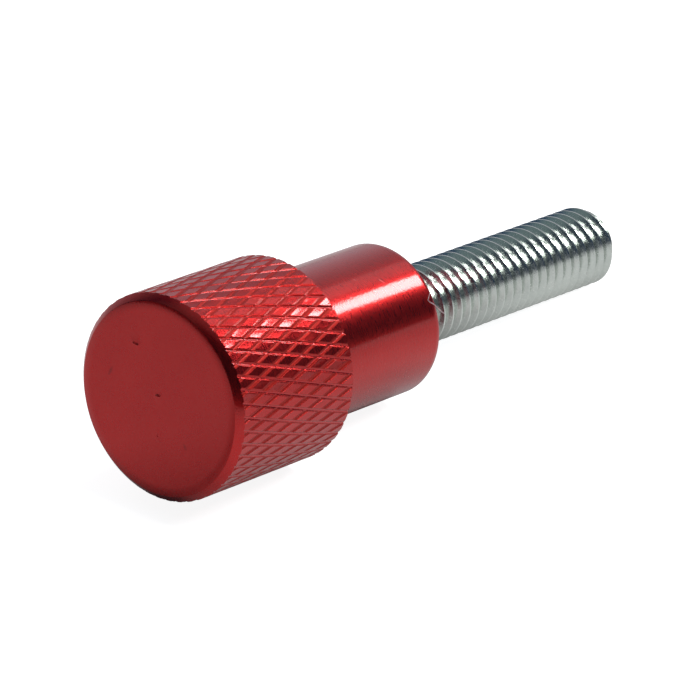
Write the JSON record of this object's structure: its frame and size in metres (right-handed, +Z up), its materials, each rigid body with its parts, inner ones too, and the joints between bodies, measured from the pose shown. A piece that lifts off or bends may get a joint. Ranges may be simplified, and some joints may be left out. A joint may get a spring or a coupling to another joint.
{
  "type": "knurled thumb screw",
  "caption": "Red anodised aluminium thumb screw with a diamond-knurled head and a plain shoulder, on an M6 stainless steel threaded stud.",
  "frame": {"origin": "centre of the bounding box on the ground, with the screw lying at rest on its side", "axes": "+X from the head towards the tip of the stud as it lies, +Z up"},
  "size_m": [0.0498, 0.015, 0.0163],
  "materials": {
    "anodised_red": "satin red anodised",
    "steel": "rolled thread, bright"
  },
  "bodies": {
    "root": {"knob": "anodised_red", "stud": "steel"}
  },
  "joints": []
}
